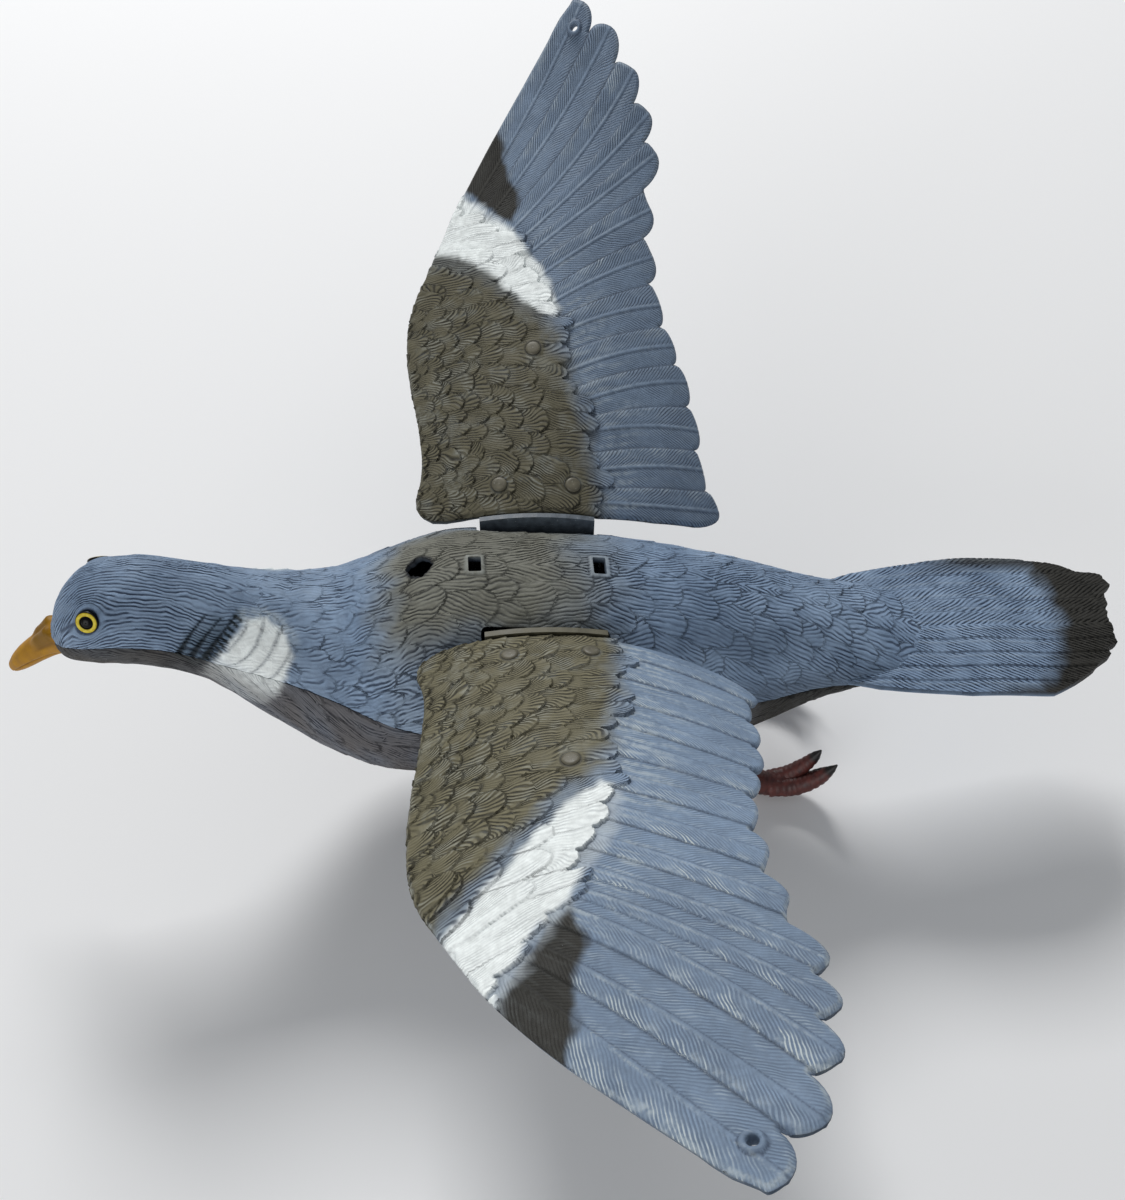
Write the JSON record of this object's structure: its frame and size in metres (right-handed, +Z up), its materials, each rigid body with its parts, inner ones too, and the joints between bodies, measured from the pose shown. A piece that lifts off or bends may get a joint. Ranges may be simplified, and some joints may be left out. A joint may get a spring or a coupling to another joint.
{
  "type": "motion wing decoy",
  "caption": "Full-bodied pigeon decoy with outspread, motor-flapped wings on hinged brackets, a two-part hollow shell and a stake socket in the belly.",
  "frame": {"origin": "centre of the stake socket's mouth, under the belly", "axes": "+X towards the tail, +Y towards the bird's right wing tip, +Z up, along the stake"},
  "size_m": [0.4178, 0.4558, 0.2117],
  "materials": {
    "blue_grey_shell": "moulded plastic with fine feather grooves, blue-grey paint, olive-brown on the back",
    "brown_shell": "moulded plastic, dark brown-grey paint",
    "wing": "moulded foam plastic, blue-grey with olive-brown coverts, white band and dark patch",
    "bracket": "painted steel, olive, worn to light metal at the edges",
    "rivet": "painted over, satin",
    "beak": "satin yellow-orange paint, brown cere",
    "eye": "glossy, gold ring and black pupil",
    "leg": "dark red-brown soft plastic, satin",
    "steel": "plain ground steel",
    "zinc": "zinc plated",
    "black_plastic": "moulded black plastic",
    "white_plastic": "moulded natural acetal",
    "brass": "machined",
    "motor_case": "drawn steel can",
    "cell": "plain wrapped dry cell"
  },
  "bodies": {
    "body": {"upper_shell": "blue_grey_shell", "lower_shell": "brown_shell", "battery_cover": "brown_shell", "beak": "beak", "chassis": "black_plastic", "gear_motor": "motor_case", "stake_socket": "black_plastic", "battery_holder": "black_plastic", "switch_body": "black_plastic", "left_eye": "eye", "left_leg": "leg", "left_hinge_pin": "steel", "left_guide_rod": "steel", "right_eye": "eye", "right_leg": "leg", "right_hinge_pin": "steel", "right_guide_rod": "steel", "motor_screw_1": "zinc", "cover_screw_1": "zinc", "motor_screw_2": "zinc", "cover_screw_2": "zinc", "chassis_screw_1": "zinc", "shell_screw_1": "zinc", "battery_cell_1": "cell", "chassis_screw_2": "zinc", "shell_screw_2": "zinc", "battery_cell_2": "cell", "chassis_screw_3": "zinc", "shell_screw_3": "zinc", "battery_cell_3": "cell", "chassis_screw_4": "zinc", "shell_screw_4": "zinc", "battery_cell_4": "cell"},
    "left_wing": {"left_wing": "wing", "left_wing_bracket": "bracket", "left_wing_rivet_1": "rivet", "left_wing_rivet_2": "rivet", "left_wing_rivet_3": "rivet"},
    "right_wing": {"right_wing": "wing", "right_wing_bracket": "bracket", "right_wing_rivet_1": "rivet", "right_wing_rivet_2": "rivet", "right_wing_rivet_3": "rivet"},
    "crosshead": {"crosshead": "white_plastic"},
    "crank": {"crank_gear": "white_plastic", "crank_shaft": "steel", "crank_pin": "steel"},
    "pinion": {"motor_pinion": "brass"},
    "switch_slider": {"switch_slider": "white_plastic"}
  },
  "joints": [
    {"name": "left_wing_flap", "type": "hinge", "parent": "body", "child": "left_wing", "pos_m": [0, -0.0245, 0.0715], "axis": [-1, 0, 0], "range_deg": [-40, 8]},
    {"name": "right_wing_flap", "type": "hinge", "parent": "body", "child": "right_wing", "pos_m": [0, 0.0245, 0.0715], "axis": [1, 0, 0], "range_deg": [-40, 8]},
    {"name": "crosshead_slide", "type": "slide", "parent": "body", "child": "crosshead", "axis": [0, 0, 1], "range_m": [-0.003, 0.0141]},
    {"name": "crank_spin", "type": "hinge", "parent": "body", "child": "crank", "pos_m": [0.01, 0, 0.0475], "axis": [1, 0, 0], "continuous": true},
    {"name": "motor_pinion_spin", "type": "hinge", "parent": "body", "child": "pinion", "pos_m": [0.01, 0, 0.0283], "axis": [1, 0, 0], "continuous": true},
    {"name": "power_switch_slide", "type": "slide", "parent": "body", "child": "switch_slider", "axis": [1, 0, 0], "range_m": [0, 0.004]}
  ],
  "couplings": [
    {"joint": "right_wing_flap", "follows": "left_wing_flap", "ratio": 1},
    {"joint": "crosshead_slide", "follows": "left_wing_flap", "m_per_rad": -0.01937},
    {"joint": "motor_pinion_spin", "follows": "crank_spin", "ratio": -3}
  ]
}
